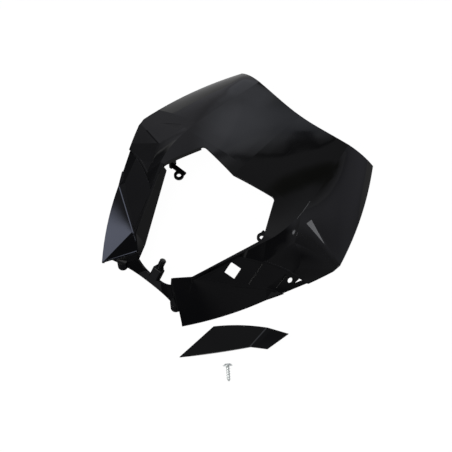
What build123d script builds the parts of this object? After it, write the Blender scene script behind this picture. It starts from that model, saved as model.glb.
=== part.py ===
from build123d import *
import os
import numpy as np

# Motorcycle headlight mask: one moulded shell with a trim panel on each flank.
# The left panel is fitted. The right panel and its screw lie loose beside the shell.
# Sizes are in millimetres. The mask lies on its rim: X across, Y towards its top, Z out of its front.
# Every corner below is given for the +X half, and the other half is its mirror image.

# Rim: a low upright band round the mask
rim_height = 3.0
tip_x = 53.7
tip_y = 0.0
rim_bend_x = 99.6
rim_bend_y = 75.6
shoulder_x = 131.8
shoulder_y = 143.5
shoulder_top_x = 133.0
shoulder_top_y = 153.0
top_corner_x = 89.5
top_corner_y = 265.0
tip_rim_bow = 2.8
flank_rim_bow = 1.5
side_rim_bow = 4.4

# Front face: its middle line, and the crease at its side
top_middle_y = 252.9
top_middle_z = 24.8
front_upper_y = 205.0
front_upper_z = 39.0
front_lower_y = 155.0
front_lower_z = 49.6
front_foot_y = 105.0
front_foot_z = 54.5
crease_top_x = 60.0
crease_top_y = 258.0
crease_top_z = 24.6
crease_upper_x = 69.0
crease_upper_y = 205.0
crease_upper_z = 30.0
crease_lower_x = 84.0
crease_lower_y = 150.0
crease_lower_z = 37.0
crease_foot_x = 69.4
crease_foot_y = 110.6
crease_foot_z = 40.5
front_fullness = 0.66
neck_share = 0.64
rib_share = 0.36

# Lower end: the point under the opening, the ledge beside it, and the ear at the end of the flank
point_x = 37.6
point_y = 35.2
point_z = 34.9
ledge_x = 38.8
ledge_y = 34.4
ledge_z = 31.8
ear_x = 23.3
ear_y = 21.7
ear_z = 34.2

# Flank: where the upper wall meets the lower flank
valley_front_x = 58.9
valley_front_y = 82.6
valley_front_z = 34.0
valley_rear_x = 77.9
valley_rear_y = 95.9
valley_rear_z = 24.8
knee_x = 88.8
knee_y = 131.8
knee_z = 28.6
bulge_x = 105.4
bulge_y = 119.0
bulge_z = 13.8
bulge_bow = 2.4
fold_outer_x = 116.0
fold_outer_y = 153.0
fold_outer_z = 12.5
fold_inner_x = 93.0
fold_inner_y = 166.0
fold_inner_z = 27.5
hollow_bow = 4.2
upper_flank_crown = 3.0

# Tapering flat sunk into the flank below its upper fold: its deep corner, its shallow corner and its point
flat_deep_x = 85.4
flat_deep_y = 155.3
flat_deep_z = 31.3
flat_side_x = 86.1
flat_side_y = 162.6
flat_side_z = 30.1
flat_end_x = 111.4
flat_end_y = 154.8
flat_end_z = 15.9
flat_depth = 1.3

wall = 2.5

# Headlight opening
opening_top_middle_y = 143.0
opening_top_x = 46.4
opening_top_y = 152.1
opening_side_x = 65.9
opening_side_y = 109.6
opening_foot_x = 36.9
opening_foot_y = 36.1
opening_ear_x = 21.2
opening_ear_y = 21.4
opening_top_round = 4.5
opening_side_round = 13.0
opening_foot_round = 3.0

# Flanges that turn back from the opening
flange_wall = 2.2
flange_start = 1.0
flange_lean = 0.42
side_flange_drop = 9.5
foot_flange_drop = 20.5
ear_flange_drop = 14.0
upper_flange_drop = 5.0

# Bridge across the bottom, with its lugs and locating peg
bridge_wall = 3.0
bridge_top_y = 20.5
bridge_top_z = 7.6
bridge_foot_y = 15.0
bridge_foot_z = 1.6
bridge_spread = 24.0
bridge_shoulder_x = 15.0
bridge_shoulder_z = 9.0
cheek_share = 0.30
lug_x = 35.4
lug_y = 11.4
lug_radius = 5.2
lug_height = 14.0
peg_tilt = 50.4
peg_base_width = 11.0
peg_base_depth = 8.0
peg_base_length = 12.0
peg_collar_radius = 4.2
peg_collar_height = 1.4
peg_stem_radius = 3.25
peg_stem_length = 10.5

# Fixing tabs inside the opening
tab_hole_x = 55.7
tab_hole_y = 121.7
tab_top_z = 13.8
tab_thickness = 2.6
tab_hole_radius = 2.4
tab_ring_radius = 5.2
tab_head = 7.0
tab_nose = 4.1
tab_arm = 14.3
tab_arm_width = 4.6
tab_leg_width = 8.0
tab_leg_wall = 3.0

# Trim panel, in the plane of the lower flank: s runs back from the ledge, t runs up the flank
trim_tip_s = 6.1
trim_tip_t = 2.4
trim_front_s = 39.3
trim_front_t = 34.0
trim_ridge_top_s = 93.0
trim_ridge_top_t = 31.2
trim_ridge_foot_s = 75.6
trim_ridge_foot_t = 11.4
trim_end_top_s = 113.2
trim_end_top_t = 25.6
trim_end_foot_s = 92.2
trim_end_foot_t = 9.8
trim_top_bow = 2.0
trim_lower_bow = 0.8
trim_ridge_rise = 2.4
trim_thickness = 1.8
trim_gap = 0.4
seat_clearance = 0.12

# Recess under the trim panel
clip_land_depth = 1.2
clip_land_edge = 1.6
clip_land_s = 53.3
clip_land_slope = 0.357
floor_wall = 2.2
boss_clearance = 0.6
groove_top_s = 91.0
groove_top_t = 28.6
groove_foot_s = 85.2
groove_foot_t = 13.4
groove_width = 1.6
groove_depth = 0.8
window_s = 37.8
window_t = 19.0
window_length = 12.6
window_width = 12.0
window_turn = -19.0
pin_hole_s = 98.0
pin_hole_t = 24.0
pin_hole_radius = 2.9
notch_s = 102.5
notch_t = 20.8
notch_base = 10.8
notch_height = 3.4
notch_peak = 0.69
notch_turn = 35.2

# Trim panel fixings
clip_leg_thickness = 1.8
clip_leg_width = 9.0
clip_barb = 1.0
clip_barb_height = 2.0
clip_slack = 0.35
pin_slack = 0.3
pin_bore_radius = 1.3
rib_reach = 2.0

# Loose trim panel and loose screw, where they lie
loose_trim_x = 74.6
loose_trim_y = -27.7
loose_trim_turn = 40.5
loose_screw_x = 115.4
loose_screw_y = -3.4
loose_screw_turn = -45.7
screw_head_radius = 4.9
screw_head_height = 2.8
screw_flange_height = 0.9
screw_head_neck_radius = 3.9
screw_shank_radius = 1.95
screw_length = 16.0
screw_point_length = 3.6
screw_point_radius = 0.5
drive_radius = 2.4
drive_slot = 1.0
drive_depth = 1.5

up = np.array([0.0, 0.0, 1.0])
across = np.array([1.0, 0.0, 0.0])
along = np.array([0.0, 1.0, 0.0])


# Curves and patches, held as their control points


def point(x, y, z):
    return np.array([x, y, z], dtype=float)


def curve(a, b, bow=(0.0, 0.0, 0.0)):
    """Cubic from a to b whose middle stands off the chord by bow."""
    push = np.array(bow) * 4 / 3
    return np.array([a, a + (b - a) / 3 + push, a + (b - a) * 2 / 3 + push, b])


def patch(low, high, left, right, crown=0.0):
    """Patch between four cubics: low and high run with u, left and right run with v."""
    net = np.zeros((4, 4, 3))
    for i in range(4):
        v = i / 3
        for j in range(4):
            u = j / 3
            rows = (1 - v) * low[j] + v * high[j]
            columns = (1 - u) * left[i] + u * right[i]
            corners = (1 - v) * ((1 - u) * low[0] + u * low[3]) + v * ((1 - u) * high[0] + u * high[3])
            net[i, j] = rows + columns - corners
    facing = np.cross(net[0, 3] - net[3, 0], net[3, 3] - net[0, 0])
    facing *= np.sign(facing[2]) / np.linalg.norm(facing)
    net[1:3, 1:3] += crown * 16 / 9 * facing
    return net


def triangle(apex, left, right, base):
    """Patch with three sides: left and right run from the apex, and base joins their far ends."""
    return patch(curve(apex, apex), base, left, right)


def split(net, share):
    """The two patches that a patch falls into at a share of v."""
    first, second = np.zeros_like(net), np.zeros_like(net)
    level = net.copy()
    for k in range(4):
        first[k] = level[0]
        second[3 - k] = level[-1]
        level = (1 - share) * level[:-1] + share * level[1:]
    return first, second


def mirrored(net):
    return net * point(-1, 1, 1)


def weights(t):
    return np.array([(1 - t) ** 3, 3 * t * (1 - t) ** 2, 3 * t * t * (1 - t), t ** 3])


def slopes(t):
    return np.array([-3 * (1 - t) ** 2, 3 * (1 - t) ** 2 - 6 * t * (1 - t),
                     6 * t * (1 - t) - 3 * t * t, 3 * t * t])


def facing(net, i, j, core):
    """Unit normal of the patch beside its control point i, j, turned away from the core point."""
    inset = 0.08
    v = inset + (1 - 2 * inset) * i / 3
    u = inset + (1 - 2 * inset) * j / 3
    with_u = np.einsum("i,j,ijk", weights(v), slopes(u), net)
    with_v = np.einsum("i,j,ijk", slopes(v), weights(u), net)
    normal = np.cross(with_u, with_v)
    normal /= np.linalg.norm(normal)
    outward = np.dot(normal, net.reshape(16, 3).mean(axis=0) - core)
    return normal if outward > 0 else -normal


def key(p):
    return tuple(np.round(p, 4) + 0.0)


def find_lifts(nets, ends, core):
    """How far each control point moves when the patches are offset by one, the same where they meet.

    ends gives, for control points on an edge that is cut off flat, the normals of those flat ends.
    """
    groups = {}
    for net in nets:
        for i in range(4):
            for j in range(4):
                groups.setdefault(key(net[i, j]), []).append(facing(net, i, j, core))
    lifts = {}
    for name, normals in groups.items():
        rows = np.array(normals)
        mean = rows.sum(axis=0)
        mean /= np.linalg.norm(mean)
        free = np.eye(3)
        if name in ends:
            flat = np.array(ends[name])
            free = np.linalg.svd(flat)[2][len(flat):].T
        hold = 0.15 * np.eye(free.shape[1])
        matrix = np.vstack([rows @ free, hold])
        target = np.concatenate([np.ones(len(rows)), 0.15 * free.T @ mean])
        lifts[name] = free @ np.linalg.lstsq(matrix, target, rcond=None)[0]
    return [np.array([[lifts[key(p)] for p in row] for row in net]) for net in nets]


def surface(net):
    return Face.make_bezier_surface([[tuple(p) for p in row] for row in net])


def skin(nets, lifts, outer, inner):
    """Solid between two offsets of joined patches, closed along every edge that only one patch has."""
    faces = []
    borders = {}
    for net, lift in zip(nets, lifts):
        faces += [surface(net + outer * lift), surface(net + inner * lift)]
        sides = ((net[0], lift[0]), (net[3], lift[3]), (net[:, 0], lift[:, 0]), (net[:, 3], lift[:, 3]))
        for edge, rise in sides:
            if key(edge[0]) != key(edge[3]):
                borders.setdefault(frozenset([key(edge[0]), key(edge[3])]), []).append((edge, rise))
    for uses in borders.values():
        if len(uses) == 1:
            edge, rise = uses[0]
            faces.append(surface(np.array([edge + outer * rise, edge + inner * rise])))
    return Solid(Shell(faces))


def plate(nets, thickness, core):
    """Solid of even thickness centred on joined patches."""
    lifts = find_lifts(nets, {}, core)
    return skin(nets, lifts, thickness / 2, -thickness / 2)


# Corners of the +X half


tip = point(tip_x, tip_y, rim_height)
rim_bend = point(rim_bend_x, rim_bend_y, rim_height)
shoulder = point(shoulder_x, shoulder_y, rim_height)
shoulder_top = point(shoulder_top_x, shoulder_top_y, rim_height)
top_corner = point(top_corner_x, top_corner_y, rim_height)
low_point = point(point_x, point_y, point_z)
ledge = point(ledge_x, ledge_y, ledge_z)
ear = point(ear_x, ear_y, ear_z)
valley_front = point(valley_front_x, valley_front_y, valley_front_z)
valley_rear = point(valley_rear_x, valley_rear_y, valley_rear_z)
knee = point(knee_x, knee_y, knee_z)
bulge = point(bulge_x, bulge_y, bulge_z)
crease_top = point(crease_top_x, crease_top_y, crease_top_z)
crease_foot = point(crease_foot_x, crease_foot_y, crease_foot_z)
core = point(0, 120, -60)


def front_patches():
    """Front face from its top edge down to the ear, parted where edges of the flank meet the crease."""
    middle = [point(0, top_middle_y, top_middle_z), point(0, front_upper_y, front_upper_z),
              point(0, front_lower_y, front_lower_z), point(0, front_foot_y, front_foot_z)]
    crease = [crease_top, point(crease_upper_x, crease_upper_y, crease_upper_z),
              point(crease_lower_x, crease_lower_y, crease_lower_z), crease_foot]
    net = np.zeros((4, 4, 3))
    for i in range(4):
        net[i, 0] = middle[i]
        net[i, 1] = middle[i] + across * crease[i][0] / 3
        net[i, 2] = (middle[i] + 2 * crease[i]) / 3
        net[i, 2, 2] = crease[i][2] + front_fullness * (middle[i][2] - crease[i][2])
        net[i, 3] = crease[i]
    upper, lower = split(net, neck_share)
    strip = patch(net[3], curve(ear, low_point), curve(net[3, 0], ear), curve(crease_foot, low_point))
    strip_rear, strip_front = split(strip, rib_share)
    return upper, lower, strip_rear, strip_front


def flank_patches(upper, lower, strip_rear, strip_front):
    """The flank's patches, outwards from the crease to the rim, and the rim's curves in order."""
    neck = lower[0, 3]
    rib = strip_front[0, 3]
    top_side = curve(crease_top, top_corner, (1.2, 0.6, 1.6))
    side_rim = curve(top_corner, shoulder_top, (side_rim_bow, side_rim_bow * 0.35, 0))
    shoulder_rim = curve(shoulder_top, shoulder)
    flank_rim = curve(shoulder, rim_bend, (flank_rim_bow, -flank_rim_bow / 2, 0))
    tip_rim = curve(rim_bend, tip, (tip_rim_bow * 0.85, -tip_rim_bow / 2, 0))
    fold = np.array([neck, point(fold_inner_x, fold_inner_y, fold_inner_z),
                     point(fold_outer_x, fold_outer_y, fold_outer_z), shoulder_top])
    hollow = curve(knee, shoulder, (0, hollow_bow, 0))
    neck_knee = curve(neck, knee, (1.0, 0.3, 1.0))
    bulge_upper = curve(knee, bulge, (bulge_bow, bulge_bow, 0))
    bulge_lower = curve(bulge, rim_bend, (-bulge_bow, 0, 0))
    bulge_outer = curve(bulge, shoulder)
    foot_rear = curve(valley_rear, knee)
    foot_front = curve(valley_front, ledge)
    rear_step = curve(crease_foot, valley_rear)
    rib_step = curve(rib, valley_front)
    end_step = curve(low_point, ledge)
    foot_middle = curve(valley_rear, valley_front)
    flank_rear = curve(valley_rear, rim_bend)
    flank_front = curve(valley_front, rim_bend)
    crest = curve(ledge, rim_bend)
    end_line = curve(ledge, tip)
    patches = [
        patch(top_side, fold, upper[:, 3], side_rim, upper_flank_crown),
        patch(fold, hollow, neck_knee, shoulder_rim),
        patch(neck_knee, rear_step, lower[:, 3], foot_rear[::-1]),
        patch(rear_step, rib_step, strip_rear[:, 3], foot_middle),
        patch(rib_step, end_step, strip_front[:, 3], foot_front),
        patch(foot_rear, bulge_lower[::-1], flank_rear, bulge_upper),
        triangle(rim_bend, flank_rear[::-1], flank_front[::-1], foot_middle),
        triangle(ledge, foot_front[::-1], crest, flank_front),
        triangle(bulge, bulge_upper[::-1], bulge_outer, hollow),
        triangle(bulge, bulge_outer, bulge_lower, flank_rim),
        triangle(ledge, end_line, crest, tip_rim[::-1]),
        patch(end_line, strip_front[3, ::-1], end_step[::-1], curve(tip, ear)),
    ]
    return patches, [side_rim, shoulder_rim, flank_rim, tip_rim]


def band(edge):
    """Upright strip from a curve of the rim down to the ground."""
    ground = edge * point(1, 1, 0)
    return patch(edge, ground, curve(edge[0], ground[0]), curve(edge[3], ground[3]))


def shell_patches():
    """Every outer patch of both halves with its lifts. The rim and the top edge end flat."""
    front = front_patches()
    flank, rims = flank_patches(*front)
    bands = [band(edge) for edge in rims]
    half = list(front) + flank
    bands += [mirrored(net) for net in bands]
    nets = half + [mirrored(net) for net in half] + bands
    ends = {}
    for net in bands:
        for p in net[3]:
            ends[key(p)] = [up]
    for net in (front[0], flank[0], mirrored(front[0]), mirrored(flank[0])):
        for p in net[0]:
            ends.setdefault(key(p), []).append(along)
    for net in (bands[0], mirrored(bands[0])):
        ends[key(net[3, 0])] = [up, along]
    lifts = find_lifts(nets, ends, core)
    for lift in lifts[-len(bands):]:
        lift[1] = (2 * lift[0] + lift[3]) / 3
        lift[2] = (lift[0] + 2 * lift[3]) / 3
    return nets, lifts


# Plane of the lower flank: the panel, its recess and its fixings are drawn flat and then placed on it


flank_direction = Vector(*(rim_bend - ledge)).normalized()
flank_normal = flank_direction.cross(Vector(*(valley_front - ledge))).normalized()
flank_plane = Plane(origin=Vector(*ledge), x_dir=flank_direction, z_dir=flank_normal)
seat_depth = trim_thickness + seat_clearance
clip_floor = seat_depth + clip_land_depth
clip_catch = clip_floor + floor_wall
fixing_reach = clip_catch + clip_slack + clip_barb_height


def trim_patches(grow=0.0, overrun=0.0):
    """Outer face of the trim panel, flat from its tip to its ridge and bent down from there to the rim.

    grow moves its outline outwards, and overrun carries its end on past the rim.
    """
    foot = point(trim_ridge_foot_s, trim_ridge_foot_t, trim_ridge_rise)
    top = point(trim_ridge_top_s, trim_ridge_top_t, trim_ridge_rise)
    end_foot = point(trim_end_foot_s, trim_end_foot_t, 0)
    end_top = point(trim_end_top_s, trim_end_top_t, 0)
    run_foot = end_foot + (end_foot - foot) * overrun / np.linalg.norm(end_foot - foot)
    run_top = end_top + (end_top - top) * overrun / np.linalg.norm(end_top - top)
    ring = [point(trim_tip_s, trim_tip_t, 0), foot, run_foot, run_top, top,
            point(trim_front_s, trim_front_t, 0)]
    moved = []
    for k, here in enumerate(ring):
        before = here - ring[k - 1]
        after = ring[(k + 1) % len(ring)] - here
        out_before = point(before[1], -before[0], 0) / np.hypot(before[0], before[1])
        out_after = point(after[1], -after[0], 0) / np.hypot(after[0], after[1])
        moved.append(here + grow * (out_before + out_after) / (1 + np.dot(out_before, out_after)))
    tip_end, foot, end_foot, end_top, top, front = moved
    ridge = curve(foot, top)
    lower_edge = curve(tip_end, foot, (0, -trim_lower_bow, 0))
    upper_edge = curve(front, top, (0, trim_top_bow, 0))
    main = patch(lower_edge, upper_edge, curve(tip_end, front), ridge)
    end = patch(curve(foot, end_foot), curve(top, end_top), ridge, curve(end_foot, end_top))
    return [main, end]


def trim_slab(outer, inner, grow=0.0, overrun=0.0, panels=2):
    nets = trim_patches(grow, overrun)[:panels]
    return skin(nets, find_lifts(nets, {}, point(60, 20, -200)), outer, inner)


def window_outline(slack=0.0):
    hole = Rectangle(window_length - 2 * slack, window_width - 2 * slack)
    return Location((window_s, window_t, 0), (0, 0, window_turn)) * hole


def notch_outline(slack=0.0):
    corners = [(0, 0), (notch_base, 0), (notch_base * notch_peak, notch_height)]
    hole = offset(Polygon(*corners, align=None), -slack) if slack else Polygon(*corners, align=None)
    return Location((notch_s, notch_t, 0), (0, 0, notch_turn)) * hole


def prism(outline, bottom, top):
    """Upright prism over a flat outline between two heights."""
    return Location((0, 0, bottom)) * extrude(outline, top - bottom, dir=(0, 0, 1))


def recess_cutter():
    """All that is taken out of the flank for the trim panel, drawn flat."""
    cutter = trim_slab(3.0, -seat_depth, trim_gap, 12.0)
    behind = Polygon((-20, 0), (clip_land_s, 0), (clip_land_s + 40 * clip_land_slope, 40), (-20, 40),
                     align=None)
    land = trim_slab(1.0, -clip_floor, -clip_land_edge, 0.0, 1)
    cutter += land & prism(behind, -20, 20)
    cutter += prism(window_outline(), -20, 2)
    cutter += prism(notch_outline(), -20, 2)
    cutter += prism(Location((pin_hole_s, pin_hole_t)) * Circle(pin_hole_radius), -20, 2)
    run = np.array([groove_top_s - groove_foot_s, groove_top_t - groove_foot_t])
    turn = float(np.degrees(np.arctan2(run[1], run[0])))
    groove = Rectangle(float(np.hypot(*run)), groove_width)
    middle = ((groove_top_s + groove_foot_s) / 2, (groove_top_t + groove_foot_t) / 2, 0)
    placed = Location(middle, (0, 0, turn)) * groove
    share = (middle[0] - trim_tip_s) / (trim_ridge_top_s - trim_tip_s)
    level = trim_ridge_rise * min(share, 1.0) * 0.6
    return cutter + prism(placed, level - seat_depth - groove_depth, 1.0)


def recess_boss():
    """Plastic added behind the recess, drawn flat."""
    return trim_slab(-wall / 2, -clip_catch, floor_wall, 0.0)


def trim_panel():
    """Trim panel with its clip, pin and rib, drawn flat with its outer face up."""
    panel = trim_slab(0.0, -trim_thickness)
    half = window_width / 2 - clip_slack
    profile = Polygon((half - clip_leg_thickness, -trim_thickness / 2), (half, -trim_thickness / 2),
                      (half, -clip_catch - clip_slack), (half + clip_barb, -clip_catch - clip_slack),
                      (half, -fixing_reach), (half - clip_leg_thickness, -fixing_reach), align=None)
    leg = extrude(Plane.YZ * profile, clip_leg_width / 2, both=True)
    legs = leg + mirror(leg, about=Plane.XZ)
    panel += Location((window_s, window_t, 0), (0, 0, window_turn)) * legs
    pin_radius = pin_hole_radius - pin_slack
    pin = Cylinder(pin_radius, fixing_reach, align=(Align.CENTER, Align.CENTER, Align.MAX))
    bore = Cylinder(pin_bore_radius, fixing_reach - trim_thickness,
                    align=(Align.CENTER, Align.CENTER, Align.MIN))
    pin -= Location((0, 0, -fixing_reach)) * bore
    panel += Location((pin_hole_s, pin_hole_t, 0)) * pin
    rib = prism(notch_outline(clip_slack), -trim_thickness - rib_reach, -trim_thickness / 2)
    return panel + rib


# The shell's other features


def opening_outline():
    half = [(opening_top_x, opening_top_y, opening_top_round),
            (opening_side_x, opening_side_y, opening_side_round),
            (opening_foot_x, opening_foot_y, opening_foot_round),
            (opening_ear_x, opening_ear_y, 0),
            (opening_ear_x, -20, 0)]
    right = [(x, y) for x, y, _ in half]
    left = [(-x, y) for x, y in right[::-1]]
    outline = Polygon((0, opening_top_middle_y), *right, *left, align=None)
    for x, y, radius in half:
        if radius:
            corners = [v for v in outline.vertices() if abs(abs(v.X) - x) + abs(v.Y - y) < 0.01]
            outline = fillet(corners, radius)
    return outline


def under_front(depth):
    """Solid from the middle of the front face's wall straight down by a depth."""
    half = list(front_patches())
    nets = half + [mirrored(net) for net in half]
    return skin(nets, [np.zeros((4, 4, 3)) + up for _ in nets], -wall / 2, -wall / 2 - depth)


def upper_flange():
    """Upright flange along each upper side of the opening, following the front face."""
    outline = opening_outline()
    ring = offset(outline, flange_wall) - outline
    side = Location(((opening_top_x + opening_side_x) / 2 + 10, (opening_top_y + opening_side_y) / 2 - 4, 0))
    reach = Rectangle(opening_side_x - opening_top_x + 20, opening_top_y - opening_side_y + 2)
    area = side * reach
    area += mirror(area, about=Plane.YZ)
    return prism(ring & area, 0, 80) & under_front(upper_flange_drop)


def lower_flanges():
    """Leaning flange down each lower side of the opening, and its return to the ear."""
    head = point(opening_side_x, opening_side_y, crease_foot_z + 0.4 - wall / 2)
    foot = point(opening_foot_x, opening_foot_y, low_point[2] + 0.3 - wall / 2)
    run = (foot - head) * point(1, 1, 0)
    out = point(-run[1], run[0], 0) / np.hypot(run[0], run[1])
    fall_head = -up * side_flange_drop - out * side_flange_drop * flange_lean
    fall_foot = -up * foot_flange_drop - out * foot_flange_drop * flange_lean
    head += out * flange_start
    foot += out * flange_start
    ear_top = point(opening_ear_x + flange_start, opening_ear_y, ear_z - wall / 2)
    ear_low = ear_top - up * ear_flange_drop
    corner = curve(foot, foot + fall_foot)
    side = patch(curve(head, foot), curve(head + fall_head, foot + fall_foot),
                 curve(head, head + fall_head), corner)
    end = patch(curve(foot, ear_top), curve(foot + fall_foot, ear_low), corner, curve(ear_top, ear_low))
    return [side, end]


def bridge_patches(ear_low):
    """Bridge from the middle to the lug, and the cheek from there up to the end of the flank."""
    top_middle = point(0, bridge_top_y, bridge_top_z)
    foot_middle = point(0, bridge_foot_y, bridge_foot_z)
    lug = point(lug_x, lug_y, bridge_foot_z + bridge_wall)
    top_edge = np.array([top_middle, top_middle + across * bridge_shoulder_x * 0.7,
                         point(bridge_shoulder_x, bridge_top_y, bridge_shoulder_z), ear_low])
    low_edge = np.array([foot_middle, foot_middle + across * bridge_spread * 0.5,
                         foot_middle + across * bridge_spread, lug])
    end_edge = curve(lug, ear_low)
    inwards = point(-0.4, 0.3, -1.0)
    cheek_low = tip + (ear - tip) * cheek_share + inwards
    cheek_top = ear + inwards
    ribbon = patch(low_edge, top_edge, curve(foot_middle, top_middle), end_edge)
    cheek = patch(curve(lug, cheek_low), curve(ear_low, cheek_top), end_edge, curve(cheek_low, cheek_top))
    return [ribbon, cheek]


def lug():
    body = Cylinder(lug_radius, lug_height, align=(Align.CENTER, Align.CENTER, Align.MIN))
    return Location((lug_x, lug_y, 0)) * body


def peg():
    """Locating peg that stands on the bridge and leans towards the opening."""
    base = Box(peg_base_width, peg_base_depth, peg_base_length,
               align=(Align.CENTER, Align.CENTER, Align.MIN))
    base = fillet(base.edges().filter_by(Axis.Z), 2.0)
    base = chamfer(base.faces().sort_by(Axis.Z)[-1].edges(), 1.0)
    collar = Cylinder(peg_collar_radius, peg_collar_height,
                      align=(Align.CENTER, Align.CENTER, Align.MIN))
    stem = Cylinder(peg_stem_radius, peg_stem_length, align=(Align.CENTER, Align.CENTER, Align.MIN))
    stem = chamfer(stem.faces().sort_by(Axis.Z)[-1].edges(), 0.8)
    tilt = float(np.radians(peg_tilt))
    stand = Plane(origin=(0, bridge_top_y, bridge_top_z), x_dir=(1, 0, 0),
                  z_dir=(0, float(np.cos(tilt)), float(np.sin(tilt))))
    top = Location((0, 0, peg_base_length))
    return stand.location * (base + top * collar + top * stem)


def tab():
    """Flat fixing tab with its hole, on an arm whose leg hangs from the inside of the front."""
    ring = Circle(tab_ring_radius)
    nose = Location(((tab_arm - tab_nose) / 2, tab_head - tab_arm_width / 2))
    arm = nose * Rectangle(tab_arm + tab_nose, tab_arm_width)
    web = Location((0.5, tab_head / 2)) * Rectangle(2 * tab_nose + 1, tab_head)
    flat = ring + arm + web - Circle(tab_hole_radius)
    bottom = tab_top_z - tab_thickness
    middle = Location((tab_hole_x, tab_hole_y))
    blade = prism(middle * flat, bottom, tab_top_z)
    leg = Location((tab_arm - tab_leg_wall / 2, tab_head - tab_leg_width / 2 + 2)) * Rectangle(
        tab_leg_wall, tab_leg_width)
    post = prism(middle * leg, bottom, 60)
    return blade + (post & under_front(40))


def mask_shell():
    shell = skin(*shell_patches(), 0.0, -wall)
    shell -= prism(opening_outline(), -1, 100)
    flanges = lower_flanges()
    bridge = bridge_patches(flanges[1][3, 3])
    shell += upper_flange()
    seat = flank_plane.location
    above = Location((0, 0, boss_clearance)) * Box(
        700, 700, 200, align=(Align.CENTER, Align.CENTER, Align.MIN))
    half = [plate(flanges, flange_wall, point(120, 60, 0)), plate(bridge[1:], flange_wall, point(60, 60, 0)),
            lug(), tab(), (seat * recess_boss()) & above]
    for piece in half:
        shell += piece
        shell += mirror(piece, about=Plane.YZ)
    shell += plate([bridge[0], mirrored(bridge[0])], bridge_wall, core)
    shell += peg()
    cutter = seat * recess_cutter()
    shell -= cutter
    shell -= mirror(cutter, about=Plane.YZ)
    shell -= fold_flat()
    shell -= mirror(fold_flat(), about=Plane.YZ)
    return shell


def fold_flat():
    """What is taken out of the flank for its tapering flat."""
    deep = point(flat_deep_x, flat_deep_y, flat_deep_z)
    side = point(flat_side_x, flat_side_y, flat_side_z)
    end = point(flat_end_x, flat_end_y, flat_end_z)
    out = np.cross(deep - side, end - side)
    out *= np.sign(out[2]) / np.linalg.norm(out)
    low = [deep - out * flat_depth, side, end]
    high = [deep + out * wall, side + out * wall, end + out * wall]
    rings = [low, high] + [[low[k - 1], low[k], high[k], high[k - 1]] for k in range(3)]
    faces = [Face(Wire.make_polygon([tuple(p) for p in ring], close=True)) for ring in rings]
    return Solid(Shell(faces))


def trim_screw():
    """Pan-head screw with a cross recess, drawn with its head at the top."""
    flange = Cylinder(screw_head_radius, screw_flange_height,
                      align=(Align.CENTER, Align.CENTER, Align.MIN))
    dome = Cylinder(screw_head_neck_radius, screw_head_height,
                    align=(Align.CENTER, Align.CENTER, Align.MIN))
    dome = fillet(dome.faces().sort_by(Axis.Z)[-1].edges(), screw_head_height * 0.5)
    shank_length = screw_length - screw_point_length
    shank = Cylinder(screw_shank_radius, shank_length, align=(Align.CENTER, Align.CENTER, Align.MAX))
    end = Cone(screw_point_radius, screw_shank_radius, screw_point_length,
               align=(Align.CENTER, Align.CENTER, Align.MAX))
    screw = flange + dome + shank + Location((0, 0, -shank_length)) * end
    for turn in (0, 90):
        slot = Box(2 * drive_radius, drive_slot, drive_depth, align=(Align.CENTER, Align.CENTER, Align.MAX))
        screw -= Location((0, 0, screw_head_height), (0, 0, turn)) * slot
    return screw


def drop(solid):
    """The solid moved down or up so that it stands on the ground."""
    return Location((0, 0, -solid.bounding_box().min.Z)) * solid


panel = trim_panel()
fitted = mirror(flank_plane.location * panel, about=Plane.YZ)
from_tip = Location((-trim_tip_s, -trim_tip_t, 0))
loose = drop(Location((loose_trim_x, loose_trim_y, 0), (0, 0, loose_trim_turn)) * from_tip * panel)
lean = float(np.degrees(np.arctan2(screw_head_radius - screw_point_radius, screw_length)))
lying = Location((0, 0, 0), (0, lean - 90, 0))
screw = drop(Location((loose_screw_x, loose_screw_y, 0), (0, 0, loose_screw_turn)) * lying * trim_screw())

os.makedirs("parts", exist_ok=True)
nodes = {"mask_shell": mask_shell(), "left_trim_panel": fitted, "right_trim_panel": loose,
         "trim_screw": screw}
# The origin is midway between the fixing holes, level with the tabs' front faces
to_origin = Location((0, -tab_hole_y, -tab_top_z))
for name, solid in nodes.items():
    solid = to_origin * solid
    export_step(solid, f"parts/{name}.step")
    box = solid.bounding_box()
    print(name, round(solid.volume), len(solid.solids()), solid.is_valid, box.min, box.max)
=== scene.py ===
import math

import bpy
from mathutils import Matrix, Vector


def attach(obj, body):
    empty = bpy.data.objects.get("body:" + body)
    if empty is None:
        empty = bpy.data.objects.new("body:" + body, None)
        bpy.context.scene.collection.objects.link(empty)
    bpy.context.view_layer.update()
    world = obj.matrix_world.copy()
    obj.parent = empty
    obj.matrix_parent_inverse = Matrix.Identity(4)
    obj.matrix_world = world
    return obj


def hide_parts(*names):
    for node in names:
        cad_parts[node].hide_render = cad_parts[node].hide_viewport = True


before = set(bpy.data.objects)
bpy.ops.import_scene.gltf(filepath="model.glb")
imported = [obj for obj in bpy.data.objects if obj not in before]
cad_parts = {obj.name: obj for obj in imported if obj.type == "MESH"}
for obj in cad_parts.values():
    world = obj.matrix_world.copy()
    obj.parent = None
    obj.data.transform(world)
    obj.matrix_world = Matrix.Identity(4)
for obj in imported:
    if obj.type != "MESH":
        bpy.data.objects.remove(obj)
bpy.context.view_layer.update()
mm = 0.001

# the camera stands over the right-hand lower side and looks down on the front of the mask
camera = {
    "place": (0.39586, -0.46139, 1.18582),
    "right": (0.7656, 0.6433, 0.0),
    "up": (-0.5770, 0.6867, 0.4421),
    "back": (0.2844, -0.3385, 0.8969),
    "lens": 103.54,
    "sensor": 36.0,
    "reach": 20,
}

ground = -13.8 * mm  # the mask lies on its rim

# one large soft lamp behind the camera gives the floor its light and the object its shadow
lamps = {
    "keyBox": {
        "place": (-0.30, -1.05, 1.75), "aim": (0, 0, 0),
        "size": (1.3, 1.3), "power": 22, "tint": (1.0, 0.99, 0.97),
    },
}

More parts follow.
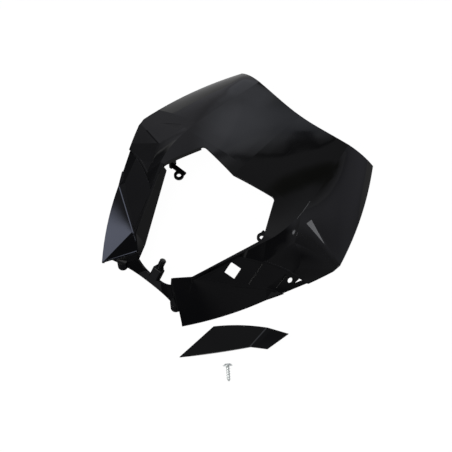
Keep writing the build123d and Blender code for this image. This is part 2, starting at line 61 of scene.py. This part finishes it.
# the studio round the object: a dark room with soft glows, each at an azimuth and a height in degrees.
# A glow is even out to its core and fades to nothing at its edge. A light below zero makes the room darker.
room = {"shade": (0.052, 0.052, 0.058), "ceiling": (0.050, 0.050, 0.055), "turnLow": 0.5, "turnHigh": 0.95}
glows = [
    {"azimuth": 121, "height": 24, "core": 3, "edge": 20, "light": (0.56, 0.59, 0.66)},
    {"azimuth": 122, "height": -4, "core": 2, "edge": 38, "light": (0.30, 0.30, 0.33)},
    {"azimuth": 146, "height": 21, "core": 15, "edge": 37, "light": (0.22, 0.22, 0.24)},
    {"azimuth": 106, "height": 64, "core": 28.3, "edge": 30.4, "light": (0.125, 0.126, 0.126)},
    {"azimuth": 164, "height": 11, "core": 39, "edge": 41, "light": (0.070, 0.070, 0.074)},
    {"azimuth": 56, "height": 22, "core": 1, "edge": 35, "light": (0.31, 0.31, 0.35)},
    {"azimuth": 21, "height": 61, "core": 6, "edge": 35, "light": (0.20, 0.20, 0.21)},
    {"azimuth": 62, "height": 71, "core": 1, "edge": 12, "light": (-0.20, -0.20, -0.20)},
    {"azimuth": 349, "height": 28, "core": 2, "edge": 16, "light": (0.090, 0.090, 0.090)},
    {"azimuth": 20.5, "height": 45.3, "core": 2.2, "edge": 3.4, "light": (3.0, 3.05, 3.2)},
    {"azimuth": 250, "height": 10, "core": 3, "edge": 24, "light": (0.20, 0.20, 0.21)},
    {"azimuth": 88, "height": 47, "core": 1, "edge": 6, "light": (-0.11, -0.11, -0.13)},
    {"azimuth": 201, "height": 5, "core": 9, "edge": 12.5, "light": (1.36, 1.48, 1.95)},
]

# a thin dark beam in the room: its corners by azimuth and height, its half width and soft edge, in degrees
beam = {
    "corners": ((131, 37.5), (116, 41.5), (103, 40.3), (106, 36.5), (108, 33.2)),
    "half": 0.35, "soft": 0.9, "dark": 0.75,
}


class Wire:
    # a shader socket that adds Math nodes where it stands in an expression
    def __init__(self, finish, socket):
        self.finish = finish
        self.socket = socket

    def maths(self, operation, first, second=0.0, clamp=False):
        settings = {"operation": operation, "use_clamp": clamp}
        return self.finish.add("ShaderNodeMath", settings, {0: first, 1: second})

    def __add__(self, other):
        return self.maths("ADD", self, other)

    def __radd__(self, other):
        return self.maths("ADD", other, self)

    def __sub__(self, other):
        return self.maths("SUBTRACT", self, other)

    def __rsub__(self, other):
        return self.maths("SUBTRACT", other, self)

    def __mul__(self, other):
        return self.maths("MULTIPLY", self, other)

    def __rmul__(self, other):
        return self.maths("MULTIPLY", other, self)

    def most(self, other):
        return self.maths("MAXIMUM", self, other)

    def unsigned(self):
        return self.maths("ABSOLUTE", self)

    def clamped(self):
        return self.maths("ADD", self, 0.0, True)


class Finish:
    # a material and the nodes that are added to it
    def __init__(self, name, tree=None):
        if tree is None:
            self.material = bpy.data.materials.new(name)
            self.material.use_nodes = True
            tree = self.material.node_tree
        self.tree = tree
        self.tree.nodes.clear()

    def add(self, kind, settings=None, inputs=None, output=0):
        node = self.tree.nodes.new(kind)
        for name, value in (settings or {}).items():
            setattr(node, name, value)
        for name, value in (inputs or {}).items():
            if isinstance(value, Wire):
                self.tree.links.new(value.socket, node.inputs[name])
            else:
                node.inputs[name].default_value = value
        return Wire(self, node.outputs[output])

    def place(self):
        return self.add("ShaderNodeTexCoord", output="Object")

    def noise(self, scale, detail, roughness, stretch=(1, 1, 1)):
        spread = self.add("ShaderNodeMapping", None, {"Vector": self.place(), "Scale": stretch})
        values = {"Vector": spread, "Scale": scale, "Detail": detail, "Roughness": roughness}
        return self.add("ShaderNodeTexNoise", None, values)

    def between(self, value, low, high):
        # a smooth step from 0 at low to 1 at high, and low may be the larger
        values = {"Value": value, "From Min": low, "From Max": high, "To Min": 0.0, "To Max": 1.0}
        return self.add("ShaderNodeMapRange", {"interpolation_type": "SMOOTHSTEP"}, values)

    def dot(self, first, second):
        return self.add("ShaderNodeVectorMath", {"operation": "DOT_PRODUCT"}, {0: first, 1: second}, "Value")

    def cone(self, direction, middle, core, edge):
        # 1 within core degrees of the middle direction, and 0 from edge degrees on
        low, high = math.cos(math.radians(edge)), math.cos(math.radians(core))
        return self.between(self.dot(direction, middle), low, high)

    def blend(self, factor, first, second):
        values = {"Factor": factor, 6: first, 7: second}
        return self.add("ShaderNodeMix", {"data_type": "RGBA"}, values, 2)

    def bump(self, height, distance, under=None):
        values = {"Height": height, "Distance": distance, "Strength": 1.0}
        if under:
            values["Normal"] = under
        return self.add("ShaderNodeBump", None, values)

    def close(self, **values):
        named = {name.replace("_", " "): value for name, value in values.items()}
        self.surface("ShaderNodeOutputMaterial", self.add("ShaderNodeBsdfPrincipled", None, named, "BSDF"))
        return self.material

    def surface(self, kind, shader):
        self.tree.links.new(shader.socket, self.tree.nodes.new(kind).inputs["Surface"])


# the black gloss of the plastic; each noise has its scale, detail and roughness, and depths are in mm
glossPlastic = {
    "black": (0.0016, 0.0017, 0.0021, 1),
    "greyBlack": (0.0030, 0.0030, 0.0034, 1),
    "inside": (0.008, 0.008, 0.009, 1),
    "insideFrom": -0.05, "insideTo": -0.30,
    "shine": 0.055, "cloudShine": 0.03, "scuffShine": 0.05, "insideShine": 0.34,
    "cloud": (14.0, 3.0, 0.6), "cloudFrom": 0.35, "cloudTo": 0.7,
    "scuff": (160.0, 4.0, 0.7, (1.0, 0.12, 1.0)), "scuffFrom": 0.62, "scuffTo": 0.78,
    "wave": (22.0, 1.0, 0.4), "waveDepth": 0.16,
    "peel": (900.0, 2.0, 0.5), "peelDepth": 0.004,
    "rounding": 0.4, "specular": 0.5, "refraction": 1.49,
}

# places where the gloss is shaded as if it lay flatter, each with the azimuth and the height that it faces,
# in degrees, and how far it follows them. A facet has an outline on the plan in mm, anticlockwise, which may
# stay open past the rim. A line has its two ends and its half width.
facets = (
    {  # the crown, with a wide soft edge
        "outline": ((-80, 134), (-80, 106), (-38, 106), (-38, 134), (-80, 134)),
        "faces": (125.2, 77.6), "share": 0.8, "soft": 7,
    },
    {  # the left foot, outer facet
        "outline": ((-52.1, -119.5), (-42.7, -84.7), (-96.6, -47.5)),
        "faces": (224.4, 51.7), "share": 0.5,
    },
    {  # the left foot, inner facet
        "outline": ((-9.8, -107.4), (-42.7, -84.7), (-52.3, -120.5), (-28.3, -102.5)),
        "faces": (243.5, 57.5), "share": 0.8,
    },
    {  # the left shoulder, middle facet
        "outline": ((-114.0, 3.0), (-91.2, 9.1), (-118.5, 19.8)),
        "faces": (199.7, 55.2), "share": 0.75,
    },
    {  # the right crest, upper stretch
        "ends": ((73.2, 54.5), (75.2, 41.0)), "half": 0.28,
        "faces": (351.9, 60.8), "share": 1.0,
    },
    {  # the right crest, lower stretch
        "ends": ((75.2, 41.0), (76.1, 29.5)), "half": 0.22,
        "faces": (352.3, 60.9), "share": 1.0,
    },
    {  # the left shoulder, top facet
        "outline": ((-118.5, 19.8), (-91.5, 9.2), (-75.9, 50.0), (-120.0, 50.0)),
        "faces": (183.7, 60.1), "share": 0.75,
    },
    {  # the upper flank below the left shoulder
        "outline": ((-114.9, -14.1), (-80.0, -12.0), (-92.8, 8.7), (-114.0, 3.0)),
        "faces": (210.5, 53.0), "share": 0.75,
    },
    {  # the bright crest above the left foot
        "ends": ((-97.5, -46.9), (-40.5, -86.2)), "half": 0.42,
        "faces": (228.6, 48.1), "share": 1.0,
    },
    {  # the groove across the left shoulder
        "ends": ((-118.5, 19.8), (-91.5, 9.2)), "half": 0.70,
        "faces": (237.8, 66.9), "share": 0.7,
    },
)

# the loose trim panel has a pale line along its ridge and a dark hollow beside it
ridgeFacets = (
    {"ends": ((120.9, -150), (120.9, -60)), "half": 0.7, "faces": (124.2, 72.7), "share": 1.0},
    {"ends": ((123.6, -150), (123.6, -60)), "half": 2.0, "faces": (358.2, 78.8), "share": 1.0},
)
facetEdge = 0.2  # mm, the soft edge of a facet that names none
topSide = {"from": 0.45, "to": 0.55}  # only faces that look up this much are flattened


def pointing(azimuth, height):
    turn, rise = math.radians(azimuth), math.radians(height)
    return Vector((math.cos(rise) * math.cos(turn), math.cos(rise) * math.sin(turn), math.sin(rise)))


def facetOutline(facet):
    if "outline" in facet:
        return [Vector(corner) for corner in facet["outline"]]
    start, end = (Vector(corner) for corner in facet["ends"])
    along = (end - start).normalized()
    aside = Vector((-along.y, along.x)) * facet["half"]
    return [start - aside, end - aside, end + aside, start + aside, start - aside]


def flattened(finish, normal, facing, facetList):
    for facet in facetList:
        share = finish.between(facing, topSide["from"], topSide["to"]) * facet["share"]
        soft = facet.get("soft", facetEdge) * mm
        corners = facetOutline(facet)
        for start, end in zip(corners, corners[1:]):
            along = (end - start).normalized()
            across = finish.dot(finish.place(), (-along.y, along.x, 0))
            side = (start.y * along.x - start.x * along.y) * mm
            share = share * finish.between(across, side - soft, side + soft)
        values = {"Factor": share, 4: normal, 5: pointing(*facet["faces"])}
        normal = finish.add("ShaderNodeMix", {"data_type": "VECTOR"}, values, 1)
    return finish.add("ShaderNodeVectorMath", {"operation": "NORMALIZE"}, {0: normal}, "Vector")


def makeGlossPlastic(name, sizes, facetList=()):
    finish = Finish(name)
    normal = finish.add("ShaderNodeNewGeometry", output="Normal")
    facing = finish.add("ShaderNodeSeparateXYZ", None, {0: normal}, "Z")
    rounded = finish.add("ShaderNodeBevel", {"samples": 4}, {"Radius": sizes["rounding"] * mm}, "Normal")
    if facetList:
        rounded = flattened(finish, rounded, facing, facetList)
    inside = finish.between(facing, sizes["insideFrom"], sizes["insideTo"])
    cloud = finish.noise(*sizes["cloud"])
    peel = finish.noise(*sizes["peel"])
    wave = finish.noise(*sizes["wave"])
    scuff = finish.between(finish.noise(*sizes["scuff"]), sizes["scuffFrom"], sizes["scuffTo"])
    clouded = finish.between(cloud, sizes["cloudFrom"], sizes["cloudTo"])
    colour = finish.blend(clouded, sizes["black"], sizes["greyBlack"])
    colour = finish.blend(inside, colour, sizes["inside"])
    shine = sizes["shine"] + sizes["cloudShine"] * cloud + sizes["scuffShine"] * scuff
    shine = shine + inside * (sizes["insideShine"] - shine)
    surface = finish.bump(wave, sizes["waveDepth"] * mm, under=rounded)
    surface = finish.bump(peel, sizes["peelDepth"] * mm, under=surface)
    lustre = {"Specular_IOR_Level": sizes["specular"], "IOR": sizes["refraction"]}
    return finish.close(Base_Color=colour, Roughness=shine, Normal=surface, **lustre)


zincPlate = {
    "zinc": (0.88, 0.92, 0.91, 1),
    "dull": (0.74, 0.78, 0.77, 1),
    "cloud": (380.0, 3.0, 0.6), "cloudFrom": 0.3, "cloudTo": 0.7,
    "grain": (2600.0, 2.0, 0.5), "grainDepth": 0.01,
    "metal": 0.45, "shine": 0.26, "cloudShine": 0.12,
}


def makeZincPlate(name, sizes):
    finish = Finish(name)
    cloud = finish.noise(*sizes["cloud"])
    grain = finish.noise(*sizes["grain"])
    clouded = finish.between(cloud, sizes["cloudFrom"], sizes["cloudTo"])
    colour = finish.blend(clouded, sizes["zinc"], sizes["dull"])
    shine = sizes["shine"] + sizes["cloudShine"] * cloud
    surface = finish.bump(grain, sizes["grainDepth"] * mm)
    return finish.close(Base_Color=colour, Metallic=sizes["metal"], Roughness=shine, Normal=surface)


# the loose screw: its profile from the point up to the head, as radius and height, then its recess and thread
screwSizes = {
    "profile": (
        (0.60, -16.0), (1.05, -15.4), (1.50, -14.2), (1.55, -1.7), (1.95, -1.2),
        (4.65, -1.1), (4.84, -0.9), (4.80, -0.5), (4.55, -0.25), (3.95, -0.1),
        (3.80, 0.15), (3.50, 0.60), (2.95, 0.95), (2.3, 1.15), (1.7, 1.22),
    ),
    "sides": 48,
    "slotLength": 4.9, "slotWidth": 1.0, "slotDepth": 1.5, "slotTaper": 0.55,
    "crest": 2.2, "root": 1.42, "pitch": 2.5, "turns": 5,
    "threadTop": -2.1, "threadSteps": 40, "threadHalf": 0.55,
    "taperFrom": -14.0, "tip": -16.6, "tipShare": 0.12,
    "place": (115.3, -125.0), "turn": -45.7, "lean": -74.6, "smooth": 32,
}


def editSelected(piece):
    bpy.ops.object.select_all(action="DESELECT")
    piece.select_set(True)
    bpy.context.view_layer.objects.active = piece
    bpy.ops.object.mode_set(mode="EDIT")


def applyBoolean(piece, other, operation):
    cut = piece.modifiers.new("cut", "BOOLEAN")
    cut.operation = operation
    cut.object = other
    cut.solver = "EXACT"
    bpy.ops.object.select_all(action="DESELECT")
    bpy.context.view_layer.objects.active = piece
    piece.select_set(True)
    bpy.ops.object.modifier_apply(modifier="cut")
    bpy.data.objects.remove(other)


def makeScrewBody(sizes):
    radius, height = sizes["profile"][0]
    bpy.ops.mesh.primitive_circle_add(
        vertices=sizes["sides"], radius=radius * mm, fill_type="NGON", location=(0, 0, height * mm))
    body = bpy.context.object
    bpy.ops.object.transform_apply(location=True)
    editSelected(body)
    bpy.ops.mesh.select_all(action="SELECT")
    for nextRadius, nextHeight in sizes["profile"][1:]:
        step = (0, 0, (nextHeight - height) * mm)
        bpy.ops.mesh.extrude_region_move(TRANSFORM_OT_translate={"value": step})
        share = nextRadius / radius
        bpy.ops.transform.resize(value=(share, share, 1), center_override=(0, 0, nextHeight * mm))
        radius, height = nextRadius, nextHeight
    bpy.ops.mesh.select_all(action="SELECT")
    bpy.ops.mesh.normals_make_consistent(inside=False)
    bpy.ops.object.mode_set(mode="OBJECT")
    top = sizes["profile"][-1][1]
    for turn in (0, 90):
        bpy.ops.mesh.primitive_cube_add(size=1, location=(0, 0, 0))
        slot = bpy.context.object
        slot.scale = (sizes["slotLength"] * mm, sizes["slotWidth"] * mm, 2 * sizes["slotDepth"] * mm)
        slot.rotation_euler = (0, 0, math.radians(turn))
        slot.location = (0, 0, top * mm)
        bpy.ops.object.transform_apply(location=True, rotation=True, scale=True)
        for corner in slot.data.vertices:
            if corner.co.z < top * mm:
                corner.co.x *= sizes["slotTaper"] if turn == 0 else 1
                corner.co.y *= sizes["slotTaper"] if turn else 1
        applyBoolean(body, slot, "DIFFERENCE")
    return body


def makeThread(sizes):
    bpy.ops.mesh.primitive_circle_add(vertices=3, radius=1 * mm, fill_type="NOTHING", location=(0, 0, 0))
    ridge = bpy.context.object
    foot = sizes["threadTop"] - sizes["pitch"] * sizes["turns"]
    root, half = sizes["root"], sizes["threadHalf"]
    corners = ((sizes["crest"], foot), (root, foot + half), (root, foot - half))
    for vertex, (radius, height) in zip(ridge.data.vertices, corners):
        vertex.co = (radius * mm, 0, height * mm)
    wind = ridge.modifiers.new("wind", "SCREW")
    wind.angle = 2 * math.pi
    wind.screw_offset = sizes["pitch"] * mm
    wind.iterations = sizes["turns"]
    wind.steps = wind.render_steps = sizes["threadSteps"]
    wind.axis = "Z"
    bpy.ops.object.modifier_apply(modifier="wind")
    for vertex in ridge.data.vertices:
        height = vertex.co.z / mm
        if height < sizes["taperFrom"]:
            share = (height - sizes["tip"]) / (sizes["taperFrom"] - sizes["tip"])
            share = max(sizes["tipShare"], share)
            vertex.co.x *= share
            vertex.co.y *= share
    editSelected(ridge)
    bpy.ops.mesh.select_mode(type="EDGE")
    bpy.ops.mesh.select_all(action="DESELECT")
    bpy.ops.mesh.select_non_manifold()
    bpy.ops.mesh.fill_holes(sides=4)
    bpy.ops.mesh.select_all(action="SELECT")
    bpy.ops.mesh.normals_make_consistent(inside=False)
    bpy.ops.object.mode_set(mode="OBJECT")
    return ridge


def makeLooseScrew(sizes, material):
    body = makeScrewBody(sizes)
    applyBoolean(body, makeThread(sizes), "UNION")
    turn = Matrix.Rotation(math.radians(sizes["turn"]), 4, "Z")
    lean = Matrix.Rotation(math.radians(sizes["lean"]), 4, "Y")
    body.data.transform(turn @ lean)
    lowest = min(vertex.co.z for vertex in body.data.vertices)
    x, y = sizes["place"]
    body.data.transform(Matrix.Translation((x * mm, y * mm, ground - lowest)))
    body.name = "looseScrew"
    body.data.materials.clear()
    body.data.materials.append(material)
    bpy.ops.object.shade_smooth_by_angle(angle=math.radians(sizes["smooth"]))
    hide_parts("trim_screw")
    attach(body, "root")
    return body


def dress(node, material):
    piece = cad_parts[node]
    piece.data.materials.clear()
    piece.data.materials.append(material)


def addCamera(sizes):
    lens = bpy.data.cameras.new("photoCamera")
    lens.lens = sizes["lens"]
    lens.sensor_width = sizes["sensor"]
    lens.sensor_fit = "HORIZONTAL"
    lens.clip_end = sizes["reach"]
    holder = bpy.data.objects.new("photoCamera", lens)
    turn = Matrix((sizes["right"], sizes["up"], sizes["back"])).transposed().to_4x4()
    holder.matrix_world = Matrix.Translation(sizes["place"]) @ turn
    bpy.context.scene.collection.objects.link(holder)
    bpy.context.scene.camera = holder


def addLamp(name, sizes):
    lamp = bpy.data.lights.new(name, "AREA")
    lamp.shape = "RECTANGLE"
    lamp.size, lamp.size_y = sizes["size"]
    lamp.energy = sizes["power"]
    lamp.color = sizes["tint"]
    holder = bpy.data.objects.new(name, lamp)
    aim = Vector(sizes["aim"]) - Vector(sizes["place"])
    holder.rotation_euler = aim.to_track_quat("-Z", "Y").to_euler()
    holder.location = sizes["place"]
    bpy.context.scene.collection.objects.link(holder)


# the floor is white to the camera. Mirrored in the gloss it has painted light and shade: painted shade dims
# it near the mask, it is paler farther off, painted light makes it paler in two sectors, and a painted pool
# of light round the screw makes it as bright as it looks there. Distances are in metres, and sectors in
# degrees.
whiteFloor = {
    "side": 12, "below": 0.00005, "matt": (0.55, 0.55, 0.55, 1), "mirroredPaintedShade": (0.07, 0.07, 0.075, 1),
    "glow": (1, 1, 1, 1), "strength": 1.07, "share": 0.92, "near": 0.22, "far": 0.50, "mirrored": 0.33,
    "innerCore": 0.05, "inner": 0.09, "outer": 0.12, "innerShare": 0.10,
    # painted light: in these two sectors the floor glows brighter in the gloss
    "sectors": (
        {"azimuth": 136, "core": 16, "edge": 36, "share": 0.50},
        {"azimuth": 48, "core": 20, "edge": 42, "share": 0.29},
    ),
    # painted light: a pool round the screw where the floor glows fully in the gloss
    "screwLightPlace": (0.119, -0.130, 0), "screwLightCore": 0.022, "screwLightEdge": 0.040,
}


def addFloor(sizes):
    bpy.ops.mesh.primitive_plane_add(size=sizes["side"], location=(0, 0, ground - sizes["below"]))
    floor = bpy.context.object
    floor.name = "floor"
    finish = Finish("whiteFloor")
    seen = finish.add("ShaderNodeLightPath", output="Is Camera Ray")
    glossy = finish.add("ShaderNodeLightPath", output="Is Glossy Ray")
    through = finish.add("ShaderNodeLightPath", output="Is Transmission Ray")
    place = finish.place()
    away = finish.add("ShaderNodeVectorMath", {"operation": "LENGTH"}, {0: place}, "Value")
    toward = finish.add("ShaderNodeVectorMath", {"operation": "NORMALIZE"}, {0: place}, "Vector")
    # painted shade: mirrored in the gloss, the floor glows less near the mask
    paintedLightAndShade = finish.between(away, sizes["near"], sizes["far"]) * sizes["mirrored"]
    outside = finish.between(away, sizes["inner"], sizes["outer"])
    # painted light: a faint glow on the floor right under the middle of the mask, seen only in the gloss
    paintedLightAndShade = paintedLightAndShade.most(finish.between(away, sizes["inner"], sizes["innerCore"]) * sizes["innerShare"])
    # painted light in two sectors of the floor, seen only in the gloss
    for sector in sizes["sectors"]:
        lit = finish.cone(toward, pointing(sector["azimuth"], 0), sector["core"], sector["edge"])
        paintedLightAndShade = paintedLightAndShade.most(outside * lit * sector["share"])
    # painted pool of light round the screw, seen only in the gloss
    values = {0: place, 1: sizes["screwLightPlace"]}
    screwAway = finish.add("ShaderNodeVectorMath", {"operation": "DISTANCE"}, values, "Value")
    paintedLightAndShade = paintedLightAndShade.most(finish.between(screwAway, sizes["screwLightEdge"], sizes["screwLightCore"]))
    share = (seen + through + glossy * paintedLightAndShade).clamped() * sizes["share"]
    # painted shade: the floor seen in the gloss takes a dark matt colour
    mattColour = finish.blend(glossy, sizes["matt"], sizes["mirroredPaintedShade"])
    matt = finish.add("ShaderNodeBsdfDiffuse", None, {"Color": mattColour})
    glow = finish.add("ShaderNodeEmission", None, {"Color": sizes["glow"], "Strength": sizes["strength"]})
    mixed = finish.add("ShaderNodeMixShader", None, {0: share, 1: matt, 2: glow})
    finish.surface("ShaderNodeOutputMaterial", mixed)
    floor.data.materials.append(finish.material)


def beamShare(sky, direction, sizes):
    corners = [pointing(*corner) for corner in sizes["corners"]]
    soft, half = math.sin(math.radians(sizes["soft"])), math.sin(math.radians(sizes["half"]))
    share = None
    for start, end in zip(corners, corners[1:]):
        aside, along = start.cross(end).normalized(), (end - start).normalized()
        off, on = sky.dot(direction, aside).unsigned(), sky.dot(direction, along)
        first, last = start.dot(along), end.dot(along)
        piece = sky.between(off, soft, half)
        piece = piece * sky.between(on, first - soft, first) * sky.between(on, last + soft, last)
        share = piece if share is None else share.most(piece)
    return share


def addRoom(sizes, glowList, beamSizes):
    world = bpy.data.worlds.new("room")
    world.use_nodes = True
    bpy.context.scene.world = world
    sky = Finish("sky", world.node_tree)
    direction = sky.add("ShaderNodeTexCoord", output="Generated")
    height = sky.add("ShaderNodeSeparateXYZ", None, {0: direction}, "Z")
    overhead = sky.between(height, sizes["turnLow"], sizes["turnHigh"])
    light = sky.blend(overhead, (*sizes["shade"], 1), (*sizes["ceiling"], 1))
    for glow in glowList:
        lit = sky.cone(direction, pointing(glow["azimuth"], glow["height"]), glow["core"], glow["edge"])
        values = {0: lit, 1: glow["light"], 2: light}
        light = sky.add("ShaderNodeVectorMath", {"operation": "MULTIPLY_ADD"}, values)
    shaded = 1 - beamShare(sky, direction, beamSizes) * beamSizes["dark"]
    light = sky.add("ShaderNodeVectorMath", {"operation": "SCALE"}, {0: light, "Scale": shaded})
    glowing = sky.add("ShaderNodeBackground", None, {"Color": light, "Strength": 1.0})
    sky.surface("ShaderNodeOutputWorld", glowing)


bpy.ops.object.select_all(action="DESELECT")
addCamera(camera)
for lampName, lampSizes in lamps.items():
    addLamp(lampName, lampSizes)
addFloor(whiteFloor)
addRoom(room, glows, beam)
print("stage, lamps and camera are set")

dress("mask_shell", makeGlossPlastic("maskGloss", glossPlastic, facets))
dress("left_trim_panel", makeGlossPlastic("trimGloss", glossPlastic))
dress("right_trim_panel", makeGlossPlastic("looseTrimGloss", glossPlastic, ridgeFacets))
print("plastic finishes are on")
looseScrew = makeLooseScrew(screwSizes, makeZincPlate("screwZinc", zincPlate))
print("screw is cut and threaded:", len(looseScrew.data.polygons), "faces")

bpy.context.scene.view_settings.view_transform = "Standard"
